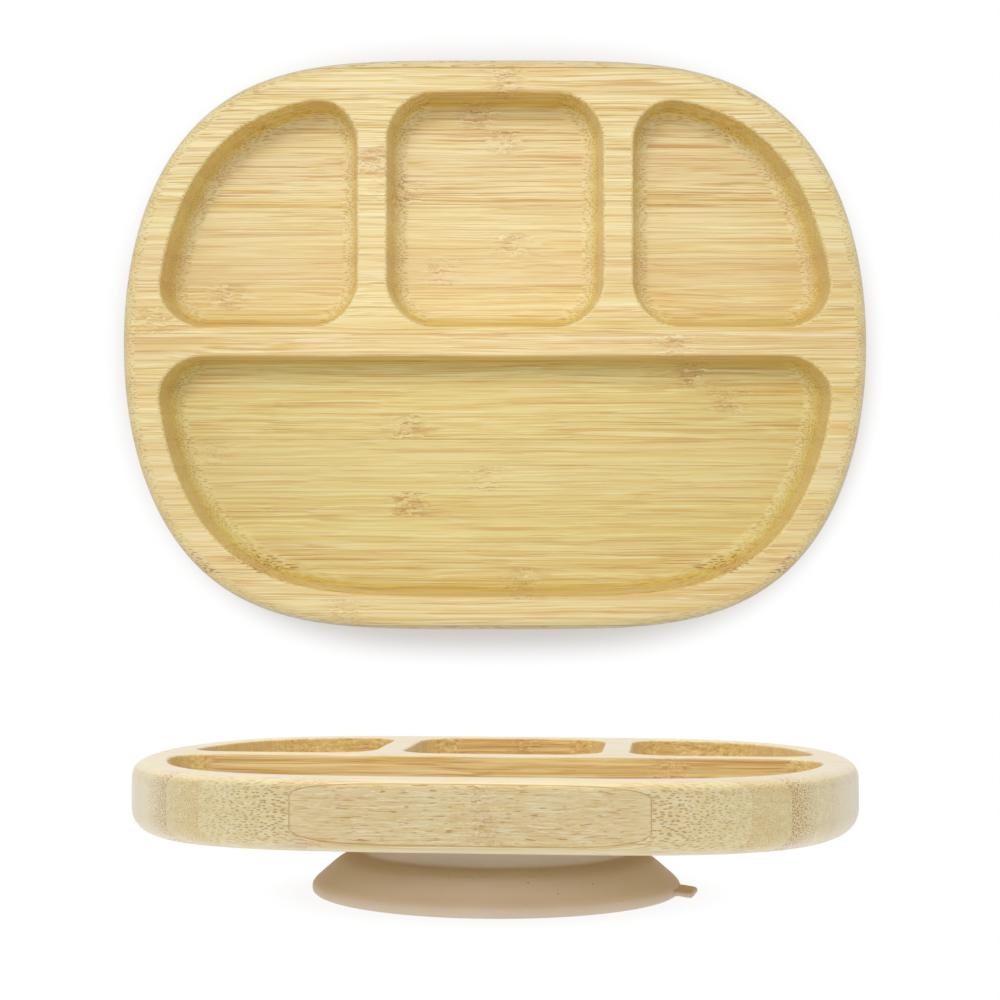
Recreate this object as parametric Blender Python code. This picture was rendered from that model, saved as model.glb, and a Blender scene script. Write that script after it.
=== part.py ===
"""Divided bamboo plate for a small child, standing on a silicone suction base.

The plate is a board glued up from upright bamboo strips and then milled: a rounded outline, four food
compartments and an annular groove underneath. The suction base is one soft silicone moulding, split here
at its flex lines into collar, skirt, lip and pull tab.

Frame: metres, +Z up, origin on the table under the plate's centre, +Y towards the three small
compartments (the rear), +X towards the side with the pull tab.
"""

import math

import bmesh
import bpy
import numpy as np
from mathutils import Vector

MM = 0.001

# ---- plate ----
PLATE_LENGTH = 220.0 * MM
PLATE_WIDTH = 168.6 * MM
PLATE_THICK = 20.2 * MM
OUTLINE_POWER_X = 4.07  # |x/a|^px + |y/b|^py = 1
OUTLINE_POWER_Y = 2.08
TOP_EDGE_R = 4.4 * MM
BOTTOM_EDGE_R = 6.5 * MM

# ---- compartments ----
RIM = 10.4 * MM  # at the top face
DIVIDER = 9.2 * MM
DIVIDER_Y = 0.95 * MM  # centre line of the long divider
SIDE_DIVIDER_X = 36.2 * MM  # centre line of the two short dividers
CORNER_R = 13.8 * MM
POCKET_DEPTH = 13.0 * MM
POCKET_FLOOR_R = 5.2 * MM
POCKET_DRAFT = math.radians(4.0)
POCKET_LIP_DROP = 1.0 * MM  # height of the bevel round the mouth
POCKET_LIP_FLARE = 0.8 * POCKET_LIP_DROP

# ---- strips the board is glued from ----
STRIP_PITCH = 7.81 * MM
FRONT_SEAM_Y = -82.8 * MM
FULL_STRIPS = 21  # plus a narrow one at the front and at the rear
GLUE_LINE = 0.10 * MM
BLANK_END_MARGIN = 4.0 * MM  # blank beyond the finished board at each end
BLANK_MARGIN = 3.0 * MM  # above, below, in front and behind

# ---- groove in the underside ----
GROOVE_R_IN = 33.0 * MM
GROOVE_R_OUT = 38.0 * MM
GROOVE_DEPTH = 4.2 * MM

# ---- suction base: collar and its tongue ----
BASE_HEIGHT = 21.0 * MM  # table to the plate's underside
SEAT_GAP = 0.3 * MM
COLLAR_R = 40.8 * MM
COLLAR_R_IN = 32.6 * MM
COLLAR_WALL_Z = 12.0 * MM  # foot of the upright wall, where the skirt's top begins
COLLAR_TOP_CHAMFER = 0.8 * MM
CEILING_R = COLLAR_R - 1.6 * MM  # edge of the flat underside
CEILING_Z = 8.9 * MM
CEILING_THICK = 2.8 * MM
CEILING_CHAMFER = 1.5 * MM  # inside the collar, where the wall meets the ceiling
FOOT_INSET = 0.4 * MM  # bend between the flat underside and the wall
FOOT_RISE = 1.2 * MM
TONGUE_SIDE_GAP = 0.4 * MM
TONGUE_END_GAP = 0.6 * MM
TONGUE_CHAMFER = 0.5 * MM

# ---- suction base: skirt and lip ----
# Control points of quadratic curves, as r, z.
SKIRT_TOP = ((COLLAR_R, COLLAR_WALL_Z), (50.2 * MM, 9.0 * MM), (56.3 * MM, 3.2 * MM))
SKIRT_UNDER = ((40.0 * MM, 9.2 * MM), (48.6 * MM, 6.6 * MM), (53.0 * MM, 0.4 * MM))
SKIRT_R = 52.0 * MM  # where the skirt ends and the lip begins
SKIRT_MID_RADII = (43.8 * MM, 46.7 * MM, 49.4 * MM)
SPLIT_GAP = 0.15 * MM
LIP_R = 56.5 * MM
LIP_ROUND = 1.9 * MM
LIP_ROUND_ANGLES = (-55, -25, 5, 30)  # degrees above the horizontal
LIP_LAND_IN = 52.9 * MM
LIP_LAND_OUT = 54.6 * MM
LIP_TOP_RADII = (55.2 * MM, 53.7 * MM, SKIRT_R)

# ---- pull tab ----
TAB_WIDTH = 14.0 * MM
TAB_THICK = 1.6 * MM
TAB_REACH = 61.6 * MM  # tip, from the centre
TAB_ROOT_R = 57.5 * MM  # hinge axis, square to the tab
TAB_ROOT_Z = 1.75 * MM
TAB_DROOP = math.radians(8.0)
TAB_AZIMUTH = math.radians(-8.0)
TAB_TIP_ROUND = 0.7  # length of the rounded tip over half the thickness
TAB_END_STEPS = 6
# Sections from one side edge inwards: distance from the edge, reach factor, thickness factor.
TAB_SECTIONS = (
    (0.0, 0.90, 0.75),
    (0.7 * MM, 0.96, 1.0),
    (2.2 * MM, 1.0, 1.0),
)

# ---- resolution ----
CHORD_TOLERANCE = 0.12 * MM
ROUND_SEGMENTS = 64
OUTLINE_SAMPLES = 2400
RIM_SAMPLES = 720  # outline points used for measuring distances
POCKET_SAMPLES = 480
POCKET_SEARCH = 0.12  # longer than any compartment
BISECTIONS = 30
BOTTOM_EDGE_STEPS = 2
TOP_EDGE_STEPS = 3
POCKET_FLOOR_STEPS = 3
SMOOTH_ANGLE = math.radians(35.0)

BOARD_Z0 = BASE_HEIGHT
BOARD_Z1 = BASE_HEIGHT + PLATE_THICK


# ---------------------------------------------------------------- plane curves
def simplified(points, tolerance):
    """Indices of the points that keep a closed curve within tolerance."""
    count = len(points)
    keep = {0, count // 2}
    spans = [(0, count // 2), (count // 2, count)]
    while spans:
        first, last = spans.pop()
        if last - first < 2:
            continue
        start = points[first]
        chord = points[last % count] - start
        span = points[first + 1 : last] - start
        cross = np.abs(chord[0] * span[:, 1] - chord[1] * span[:, 0])
        distance = cross / np.linalg.norm(chord)
        farthest = int(distance.argmax())
        if distance[farthest] > tolerance:
            middle = first + 1 + farthest
            keep.add(middle)
            spans += [(first, middle), (middle, last)]
    return sorted(keep)


def thinned_curve(points):
    """A closed counterclockwise curve as (points, inward normals), thinned to the chord tolerance."""
    points = np.asarray(points, float)
    tangent = np.roll(points, -1, axis=0) - np.roll(points, 1, axis=0)
    tangent /= np.linalg.norm(tangent, axis=1)[:, None]
    inward = np.column_stack([-tangent[:, 1], tangent[:, 0]])
    chosen = simplified(points, CHORD_TOLERANCE)
    return points[chosen], inward[chosen]


def inset(curve, distance):
    points, inward = curve
    return points + inward * distance


def outline_points(count):
    angles = np.linspace(0.0, 2 * math.pi, count, endpoint=False)
    cos, sin = np.cos(angles), np.sin(angles)
    x = PLATE_LENGTH / 2 * np.sign(cos) * np.abs(cos) ** (2 / OUTLINE_POWER_X)
    y = PLATE_WIDTH / 2 * np.sign(sin) * np.abs(sin) ** (2 / OUTLINE_POWER_Y)
    return np.column_stack([x, y])


def outline_distance(x, y, outline):
    """Signed distance to the plate's outline, negative inside."""
    side = np.roll(outline, -1, axis=0) - outline
    point = np.array([x, y])
    along = np.clip(((point - outline) * side).sum(1) / (side * side).sum(1), 0.0, 1.0)
    nearest = outline + side * along[:, None]
    distance = math.sqrt(((point - nearest) ** 2).sum(1).min())
    x_ratio = abs(x) / (PLATE_LENGTH / 2)
    y_ratio = abs(y) / (PLATE_WIDTH / 2)
    inside = x_ratio**OUTLINE_POWER_X + y_ratio**OUTLINE_POWER_Y < 1.0
    return -distance if inside else distance


def rounded_and(first, second, radius):
    """Signed distance to the overlap of two regions, with the corner where they meet rounded."""
    corner = math.hypot(max(first + radius, 0.0), max(second + radius, 0.0))
    return min(-radius, max(first, second)) + corner


def crossing(is_before, reach):
    """The value between 0 and reach up to which is_before holds, by bisection."""
    low, high = 0.0, reach
    for _ in range(BISECTIONS):
        middle = (low + high) / 2
        if is_before(middle):
            low = middle
        else:
            high = middle
    return low


def pocket_curve(planes, centre):
    """Edge of one compartment: the rim's inner curve cut by straight divider walls.

    planes are (normal x, normal y, offset); the compartment is where n.p < offset for each of them.
    centre is any point well inside, from which the edge is searched for.
    """
    outline = outline_points(RIM_SAMPLES)

    def is_inside(x, y):
        distance = outline_distance(x, y, outline) + RIM
        for normal_x, normal_y, offset in planes:
            wall = normal_x * x + normal_y * y - offset
            distance = rounded_and(distance, wall, CORNER_R)
        return distance < 0

    def edge_point(angle):
        def along_ray(radius):
            return centre[0] + radius * math.cos(angle), centre[1] + radius * math.sin(angle)

        return along_ray(crossing(lambda radius: is_inside(*along_ray(radius)), POCKET_SEARCH))

    angles = [2 * math.pi * k / POCKET_SAMPLES for k in range(POCKET_SAMPLES)]
    return thinned_curve([edge_point(angle) for angle in angles])


def circle(radius, count=ROUND_SEGMENTS):
    angles = np.linspace(0.0, 2 * math.pi, count, endpoint=False)
    return np.column_stack([radius * np.cos(angles), radius * np.sin(angles)])


def quarter_round(radius, steps):
    """Points of a quarter circle from (0, radius) to (radius, 0), hollow side away from the origin."""
    angles = [math.radians(90.0 * k / steps) for k in range(steps + 1)]
    return [(radius * (1 - math.cos(a)), radius * (1 - math.sin(a))) for a in angles]


def height_on(controls, radius):
    """Height at a radius on a quadratic curve through r, z control points."""

    def blend(t, values):
        start, pull, end = values
        return (1 - t) ** 2 * start + 2 * t * (1 - t) * pull + t * t * end

    radii, heights = zip(*controls)
    return blend(crossing(lambda t: blend(t, radii) < radius, 1.0), heights)


# ---------------------------------------------------------------- mesh helpers
def new_object(name, bm, material=None):
    mesh = bpy.data.meshes.new(name)
    bm.to_mesh(mesh)
    bm.free()
    mesh.shade_smooth()
    mesh.set_sharp_from_angle(angle=SMOOTH_ANGLE)
    if material:
        mesh.materials.append(material)
    obj = bpy.data.objects.new(name, mesh)
    bpy.context.scene.collection.objects.link(obj)
    return obj


def ring(bm, points, z):
    return [bm.verts.new((x, y, z)) for x, y in points]


def skin(bm, lower, upper):
    """Faces between two equal rings, facing outwards if they run counterclockwise and upper is above."""
    count = len(lower)
    for i in range(count):
        j = (i + 1) % count
        bm.faces.new((lower[i], lower[j], upper[j], upper[i]))


def fill_with_holes(bm, outer, holes, up):
    """One flat face region between an outer ring and any number of hole rings."""
    edges = []
    for loop in [outer, *holes]:
        for pair in zip(loop, loop[1:] + loop[:1]):
            edges.append(bm.edges.get(pair) or bm.edges.new(pair))
    normal = Vector((0.0, 0.0, 1.0 if up else -1.0))
    made = bmesh.ops.triangle_fill(
        bm, use_beauty=True, use_dissolve=False, edges=edges, normal=normal
    )
    for face in made["geom"]:
        if isinstance(face, bmesh.types.BMFace):
            face.normal_update()
            if (face.normal.z > 0) != up:
                face.normal_flip()


def turned(name, profile, material):
    """A solid of revolution about Z from a closed (r, z) profile, counterclockwise in the r-z plane."""
    bm = bmesh.new()
    loops = []
    for radius, z in profile:
        on_axis = radius < 1e-9
        loops.append(ring(bm, [(0.0, 0.0)] if on_axis else circle(radius), z))
    for lower, upper in zip(loops, loops[1:] + loops[:1]):
        if len(lower) == len(upper) == 1:
            continue  # the profile's closing side lies on the axis
        if len(lower) == len(upper):
            skin(bm, lower, upper)
            continue
        for i in range(ROUND_SEGMENTS):
            j = (i + 1) % ROUND_SEGMENTS
            if len(lower) == 1:
                bm.faces.new((lower[0], upper[j], upper[i]))
            else:
                bm.faces.new((lower[i], lower[j], upper[0]))
    return new_object(name, bm, material)


def principled(name, colour, roughness):
    material = bpy.data.materials.new(name)
    material.use_nodes = True
    shader = material.node_tree.nodes["Principled BSDF"]
    shader.inputs["Base Color"].default_value = (*colour, 1.0)
    shader.inputs["Roughness"].default_value = roughness
    material.diffuse_color = (*colour, 1.0)
    return material


# ---------------------------------------------------------------- plate
def add_rounded_side(bm):
    """The board's outer wall with its rounded edges; returns its bottom and top rings."""
    outline = thinned_curve(outline_points(OUTLINE_SAMPLES))
    bottom_edge = quarter_round(BOTTOM_EDGE_R, BOTTOM_EDGE_STEPS)
    steps = [(inward, BOARD_Z0 + rise) for rise, inward in reversed(bottom_edge)]
    steps = [(inward, BOARD_Z0 + rise) for rise, inward in bottom_edge]
    top_edge = quarter_round(TOP_EDGE_R, TOP_EDGE_STEPS)
    steps += [(inward, BOARD_Z1 - drop) for inward, drop in top_edge]
    loops = [ring(bm, inset(outline, inward), z) for inward, z in steps]
    for lower, upper in zip(loops, loops[1:]):
        skin(bm, lower, upper)
    return loops[0], loops[-1]


def pocket_curves():
    """Edges of the compartments: large front, then rear middle, rear -X and rear +X."""
    front = (0, 1, DIVIDER_Y - DIVIDER / 2)
    rear = (0, -1, -(DIVIDER_Y + DIVIDER / 2))
    middle_x = SIDE_DIVIDER_X - DIVIDER / 2
    side_x = SIDE_DIVIDER_X + DIVIDER / 2
    return [
        pocket_curve([front], centre=(0.0, -38.0 * MM)),
        pocket_curve([rear, (1, 0, middle_x), (-1, 0, middle_x)], centre=(0.0, 40.0 * MM)),
        pocket_curve([rear, (1, 0, -side_x)], centre=(-64.0 * MM, 33.0 * MM)),
        pocket_curve([rear, (-1, 0, -side_x)], centre=(64.0 * MM, 33.0 * MM)),
    ]


def add_pocket(bm, curve):
    """One compartment's walls and floor; returns the ring of its mouth."""
    floor_z = BOARD_Z1 - POCKET_DEPTH
    wall_height = POCKET_DEPTH - POCKET_LIP_DROP - POCKET_FLOOR_R
    draft_inset = wall_height * math.tan(POCKET_DRAFT)
    steps = [(-POCKET_LIP_FLARE, BOARD_Z1), (0.0, BOARD_Z1 - POCKET_LIP_DROP)]
    for inward, rise in quarter_round(POCKET_FLOOR_R, POCKET_FLOOR_STEPS):
        steps.append((draft_inset + inward, floor_z + rise))
    loops = [ring(bm, inset(curve, inward), z) for inward, z in steps]
    for upper, lower in zip(loops, loops[1:]):
        skin(bm, lower[::-1], upper[::-1])
    bm.faces.new(loops[-1])
    return loops[0]


def add_groove(bm):
    """The annular groove and the flat inside it; returns the groove's outer ring on the underside."""
    roof_z = BOARD_Z0 + GROOVE_DEPTH
    outer_mouth = ring(bm, circle(GROOVE_R_OUT), BOARD_Z0)
    outer_roof = ring(bm, circle(GROOVE_R_OUT), roof_z)
    inner_roof = ring(bm, circle(GROOVE_R_IN), roof_z)
    inner_mouth = ring(bm, circle(GROOVE_R_IN), BOARD_Z0)
    skin(bm, outer_roof, outer_mouth)
    skin(bm, outer_roof[::-1], inner_roof[::-1])
    skin(bm, inner_mouth, inner_roof)
    bm.faces.new(inner_mouth[::-1])
    return outer_mouth


def milled_form():
    """The plate's finished outside shape, a hidden helper that mills the strips."""
    bm = bmesh.new()
    bottom, top = add_rounded_side(bm)
    mouths = [add_pocket(bm, curve) for curve in pocket_curves()]
    fill_with_holes(bm, top, mouths, up=True)
    fill_with_holes(bm, bottom, [add_groove(bm)], up=False)
    form = new_object("milled_form", bm)
    form.hide_render = True
    form.display_type = "WIRE"
    return form


def strip_blank(name, y0, y1, material):
    """One squared bamboo strip before milling, longer and taller than the board."""
    length = PLATE_LENGTH + 2 * BLANK_END_MARGIN
    height = PLATE_THICK + 2 * BLANK_MARGIN
    size = Vector((length, y1 - y0, height))
    centre = Vector((0.0, (y0 + y1) / 2, (BOARD_Z0 + BOARD_Z1) / 2))
    bm = bmesh.new()
    bmesh.ops.create_cube(bm, size=1.0)
    for vert in bm.verts:
        vert.co = centre + vert.co * size
    return new_object(name, bm, material)


def bamboo_strips(form, tones):
    """Strips from front to rear in alternating tones, each cut to the milled form."""
    seams = [FRONT_SEAM_Y + STRIP_PITCH * k for k in range(FULL_STRIPS + 1)]
    half_width = PLATE_WIDTH / 2 + BLANK_MARGIN
    starts = [-half_width, *(y + GLUE_LINE / 2 for y in seams)]
    ends = [*(y - GLUE_LINE / 2 for y in seams), half_width]
    for k, (y0, y1) in enumerate(zip(starts, ends)):
        blank = strip_blank(f"bamboo_strip_{k + 1:02d}", y0, y1, tones[k % 2])
        milling = blank.modifiers.new("milling", "BOOLEAN")
        milling.operation = "INTERSECT"
        milling.solver = "EXACT"
        milling.object = form


# ---------------------------------------------------------------- suction base
def suction_collar(material):
    """A ring under the plate with a tongue in the groove, closed below by the cup's ceiling."""
    top = BOARD_Z0 - SEAT_GAP
    tongue_top = BOARD_Z0 + GROOVE_DEPTH - TONGUE_END_GAP
    tongue_in = GROOVE_R_IN + TONGUE_SIDE_GAP
    tongue_out = GROOVE_R_OUT - TONGUE_SIDE_GAP
    ceiling_top = CEILING_Z + CEILING_THICK
    profile = [
        (0.0, CEILING_Z),
        (CEILING_R, CEILING_Z),
        (COLLAR_R - FOOT_INSET, CEILING_Z + FOOT_RISE),
        (COLLAR_R, COLLAR_WALL_Z),
        (COLLAR_R, top - COLLAR_TOP_CHAMFER),
        (COLLAR_R - COLLAR_TOP_CHAMFER, top),
        (tongue_out, top),
        (tongue_out, tongue_top - TONGUE_CHAMFER),
        (tongue_out - TONGUE_CHAMFER, tongue_top),
        (tongue_in + TONGUE_CHAMFER, tongue_top),
        (tongue_in, tongue_top - TONGUE_CHAMFER),
        (tongue_in, top),
        (COLLAR_R_IN, top),
        (COLLAR_R_IN, ceiling_top + CEILING_CHAMFER),
        (COLLAR_R_IN - CEILING_CHAMFER, ceiling_top),
        (0.0, ceiling_top),
    ]
    turned("suction_collar", profile, material)


def suction_skirt(material):
    """The flexing dome between the collar and the lip."""
    radii = [COLLAR_R + SPLIT_GAP, *SKIRT_MID_RADII, SKIRT_R - SPLIT_GAP]
    under = [(r, height_on(SKIRT_UNDER, r)) for r in radii]
    top = [(r, height_on(SKIRT_TOP, r)) for r in reversed(radii)]
    turned("suction_skirt", under + top, material)


def suction_lip(material):
    """The rounded sealing edge, with a flat land on the table."""
    profile = [
        (SKIRT_R, height_on(SKIRT_UNDER, SKIRT_R)),
        (LIP_LAND_IN, 0.0),
        (LIP_LAND_OUT, 0.0),
    ]
    for angle in map(math.radians, LIP_ROUND_ANGLES):
        radius = LIP_R + LIP_ROUND * (math.cos(angle) - 1)
        profile.append((radius, LIP_ROUND * (1 + math.sin(angle))))
    profile += [(r, height_on(SKIRT_TOP, r)) for r in LIP_TOP_RADII]
    turned("suction_lip", profile, material)


def tab_hinge():
    """An empty at the tab's root; its Y axis is the hinge axis."""
    hinge = bpy.data.objects.new("tab_hinge", None)
    hinge.location = (
        TAB_ROOT_R * math.cos(TAB_AZIMUTH),
        TAB_ROOT_R * math.sin(TAB_AZIMUTH),
        TAB_ROOT_Z,
    )
    hinge.rotation_euler = (0.0, TAB_DROOP, TAB_AZIMUTH)
    bpy.context.scene.collection.objects.link(hinge)
    return hinge


def half_ellipse(centre_x, radius_x, radius_z, start_degrees):
    points = []
    for k in range(TAB_END_STEPS + 1):
        angle = math.radians(start_degrees + 180 * k / TAB_END_STEPS)
        points.append((centre_x + radius_x * math.cos(angle), radius_z * math.sin(angle)))
    return points


def pull_tab(hinge, material):
    """A flat tongue past the lip, in the hinge's frame: X out to the tip, Y across."""
    half_width, half_thick = TAB_WIDTH / 2, TAB_THICK / 2
    tip_round = half_thick * TAB_TIP_ROUND
    tip_x = TAB_REACH - TAB_ROOT_R - tip_round
    side = half_ellipse(0.0, half_thick, half_thick, start_degrees=90)
    side += half_ellipse(tip_x, tip_round, half_thick, start_degrees=-90)

    sections = [(edge - half_width, *scales) for edge, *scales in TAB_SECTIONS]
    sections += [(half_width - edge, *scales) for edge, *scales in reversed(TAB_SECTIONS)]
    bm = bmesh.new()
    loops = []
    for y, reach, thick in sections:
        points = [(x * reach if x > 0 else x, y, z * thick) for x, z in side]
        loops.append([bm.verts.new(point) for point in points])
    for near, far in zip(loops, loops[1:]):
        skin(bm, near, far)
    bm.faces.new(loops[0][::-1])
    bm.faces.new(loops[-1])
    bmesh.ops.recalc_face_normals(bm, faces=bm.faces)
    new_object("pull_tab", bm, material).parent = hinge


# ---------------------------------------------------------------- build
for old in list(bpy.data.objects):
    bpy.data.objects.remove(old, do_unlink=True)

bamboo_tones = [
    principled("bamboo_light", colour=(0.79, 0.63, 0.33), roughness=0.5),
    principled("bamboo_mid", colour=(0.74, 0.57, 0.28), roughness=0.5),
]
silicone = principled("silicone_beige", colour=(0.47, 0.34, 0.22), roughness=0.55)

bamboo_strips(milled_form(), bamboo_tones)
suction_collar(silicone)
suction_skirt(silicone)
suction_lip(silicone)
pull_tab(tab_hinge(), silicone)
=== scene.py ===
"""Visual model of a divided bamboo plate on a silicone suction base, built round its CAD frame.

The object stands on the floor at z = 0. X runs along the plate and its strips, Y from the front
(-Y, the camera's side) to the rear, and Z up.

The board is milled from glued strips, so the finished form is made once and then cut along each
glue line. Each strip keeps its own growth: its tone, its fibres, the side its rind was on, and
where its node falls. Bamboo is a solid material, so the same bundles show as streaks along the
strip and as dots on the end grain.

There are two views in the picture: the object itself, seen from the front, and far behind and
above it an instance of the same pieces, sixty times larger and turned to face the camera, so that
it shows the plate from above. The instance adds no geometry to the product.
"""

import math
import random
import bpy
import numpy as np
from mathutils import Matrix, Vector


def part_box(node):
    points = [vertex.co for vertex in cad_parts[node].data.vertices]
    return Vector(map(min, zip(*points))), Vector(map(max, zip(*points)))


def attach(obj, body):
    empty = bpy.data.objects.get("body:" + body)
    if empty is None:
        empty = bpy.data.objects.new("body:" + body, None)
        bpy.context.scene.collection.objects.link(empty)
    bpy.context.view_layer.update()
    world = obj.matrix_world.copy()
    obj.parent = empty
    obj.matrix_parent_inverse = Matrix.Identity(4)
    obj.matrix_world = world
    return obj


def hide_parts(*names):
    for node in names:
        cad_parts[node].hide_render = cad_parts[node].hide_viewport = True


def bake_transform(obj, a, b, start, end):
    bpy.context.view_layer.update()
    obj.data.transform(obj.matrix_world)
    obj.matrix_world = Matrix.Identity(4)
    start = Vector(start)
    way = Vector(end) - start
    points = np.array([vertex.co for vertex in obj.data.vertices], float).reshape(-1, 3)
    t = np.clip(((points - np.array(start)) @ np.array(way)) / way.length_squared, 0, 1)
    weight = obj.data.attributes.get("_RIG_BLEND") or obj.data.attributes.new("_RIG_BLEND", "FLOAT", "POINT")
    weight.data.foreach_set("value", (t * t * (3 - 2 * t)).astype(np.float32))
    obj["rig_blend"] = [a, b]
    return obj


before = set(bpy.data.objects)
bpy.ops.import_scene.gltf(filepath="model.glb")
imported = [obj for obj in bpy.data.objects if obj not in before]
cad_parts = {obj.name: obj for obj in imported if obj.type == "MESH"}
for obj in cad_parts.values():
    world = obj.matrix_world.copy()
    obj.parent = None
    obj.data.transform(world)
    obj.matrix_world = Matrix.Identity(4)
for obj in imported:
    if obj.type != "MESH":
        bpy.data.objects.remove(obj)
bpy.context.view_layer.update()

from types import SimpleNamespace

import bmesh
import bpy
import numpy as np
from mathutils import Matrix, Vector

MM = 0.001
STRIPS = [f"bamboo_strip_{k:02d}" for k in range(1, 24)]

# ------------------------------------------------------------------ plate sizes
# from the CAD frame
MIDDLE_LOW, MIDDLE_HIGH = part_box("bamboo_strip_12")
BOTTOM_Z, TOP_Z = MIDDLE_LOW[2], MIDDLE_HIGH[2]
HALF_X = MIDDLE_HIGH[0]
HALF_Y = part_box("bamboo_strip_23")[1][1]

POWER_X, POWER_Y = 4.07, 2.08  # the outline is |x/HALF_X|^POWER_X + |y/HALF_Y|^POWER_Y = 1
TOP_R, BOTTOM_R = 4.4 * MM, 6.5 * MM  # roundings of the outer edge
RIM, DIVIDER = 10.4 * MM, 9.2 * MM  # widths of the wood round and between the pockets
DIVIDER_Y, SIDE_DIVIDER_X = 0.95 * MM, 36.2 * MM  # centre lines of the dividers
CORNER_R = 13.8 * MM  # pocket corners, seen from above
DEPTH = 13.0 * MM
FLOOR_R = 5.2 * MM  # fillet between a pocket's wall and floor
DRAFT = 4.0  # degrees a pocket's wall leans from upright
MOUTH_R = 1.0 * MM  # rounding of a pocket's upper edge
GROOVE_IN, GROOVE_OUT, GROOVE_DEPTH = 33.0 * MM, 38.0 * MM, 4.2 * MM  # ring under the plate
HALF_GLUE = 0.01 * MM  # half the visible glue line


def add_object(name, data):
    obj = bpy.data.objects.new(name, data)
    bpy.context.scene.collection.objects.link(obj)
    return obj


# ------------------------------------------------------------------ curves
def resample(points, step):
    """The closed curve through the points, as evenly spaced points about a step apart."""
    closed = np.vstack([points, points[:1]])
    lengths = np.linalg.norm(np.diff(closed, axis=0), axis=1)
    travelled = np.concatenate([[0.0], np.cumsum(lengths)])
    count = int(round(travelled[-1] / step))
    stations = np.linspace(0.0, travelled[-1], count, endpoint=False)
    return np.column_stack([np.interp(stations, travelled, closed[:, axis]) for axis in (0, 1)])


def with_normals(points, step):
    """Evenly spaced points of a counterclockwise curve, and the inward direction at each."""
    fine = resample(points, step / 4)
    tangent = np.roll(fine, -2, axis=0) - np.roll(fine, 2, axis=0)
    tangent /= np.linalg.norm(tangent, axis=1)[:, None]
    inward = np.column_stack([-tangent[:, 1], tangent[:, 0]])
    count = len(fine) // 4
    pick = np.round(np.linspace(0, len(fine), count, endpoint=False)).astype(int)
    return fine[pick], inward[pick]


def outline_points(count):
    angle = np.linspace(0.0, 2 * math.pi, count, endpoint=False)
    cos, sin = np.cos(angle), np.sin(angle)
    x = HALF_X * np.sign(cos) * np.abs(cos) ** (2 / POWER_X)
    y = HALF_Y * np.sign(sin) * np.abs(sin) ** (2 / POWER_Y)
    return np.column_stack([x, y])


OUTLINE = outline_points(1400)


def outline_distance(points):
    """Signed distance of each point to the outline, negative inside."""
    side = np.roll(OUTLINE, -1, axis=0) - OUTLINE
    offset = points[:, None, :] - OUTLINE[None]
    share = np.clip((offset * side).sum(2) / (side * side).sum(1), 0.0, 1.0)
    distance = np.sqrt(((offset - side * share[:, :, None]) ** 2).sum(2).min(1))
    across, up = np.abs(points[:, 0]) / HALF_X, np.abs(points[:, 1]) / HALF_Y
    return np.where(across**POWER_X + up**POWER_Y < 1, -distance, distance)


def rounded_and(first, second, radius):
    """Signed distance to the overlap of two shapes, with its corners rounded."""
    return np.minimum(-radius, np.maximum(first, second)) + np.hypot(
        np.maximum(first + radius, 0.0), np.maximum(second + radius, 0.0)
    )


def pocket_points(planes, centre, count=720):
    """A pocket's mouth, found by halving along rays from a point inside it.

    The pocket lies a rim inside the outline, and behind each plane (normal x, normal y, offset).
    """
    angle = np.linspace(0.0, 2 * math.pi, count, endpoint=False)
    ray = np.column_stack([np.cos(angle), np.sin(angle)])
    near, far = np.zeros(count), np.full(count, 0.12)
    for _ in range(24):
        middle = (near + far) / 2
        points = np.array(centre) + ray * middle[:, None]
        distance = outline_distance(points) + RIM
        for normal_x, normal_y, offset in planes:
            to_plane = normal_x * points[:, 0] + normal_y * points[:, 1] - offset
            distance = rounded_and(distance, to_plane, CORNER_R)
        inside = distance < 0
        near, far = np.where(inside, middle, near), np.where(inside, far, middle)
    return np.array(centre) + ray * near[:, None]


# ------------------------------------------------------------------ the milled form
def ring(bm, curve, inset, z, out, up):
    """A ring inset from the curve; its normal is out times the inward direction plus up times +Z."""
    normal_layer = bm.verts.layers.float_vector["nrm"]
    made = []
    for (x, y), (in_x, in_y) in zip(*curve):
        vert = bm.verts.new((x + in_x * inset, y + in_y * inset, z))
        vert[normal_layer] = Vector((in_x * out, in_y * out, up)).normalized()
        made.append(vert)
    return made


def skin(bm, first, second):
    count = len(first)
    for i in range(count):
        j = (i + 1) % count
        bm.faces.new((first[i], first[j], second[j], second[i]))


def skin_all(bm, loops):
    for first, second in zip(loops, loops[1:]):
        skin(bm, first, second)


def fill(bm, edges, facing, is_flat):
    """Triangles between closed loops of edges, turned to face the given way."""
    flat_layer = bm.faces.layers.int["flat"]
    made = bmesh.ops.triangle_fill(
        bm, use_beauty=True, use_dissolve=False, edges=edges, normal=facing
    )
    for face in made["geom"]:
        if isinstance(face, bmesh.types.BMFace):
            face.normal_update()
            if face.normal.dot(facing) < 0:
                face.normal_flip()
            face[flat_layer] = is_flat


def loop_edges(bm, loops):
    edges = []
    for loop in loops:
        for i, vert in enumerate(loop):
            following = loop[(i + 1) % len(loop)]
            edges.append(bm.edges.get((vert, following)) or bm.edges.new((vert, following)))
    return edges


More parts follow.
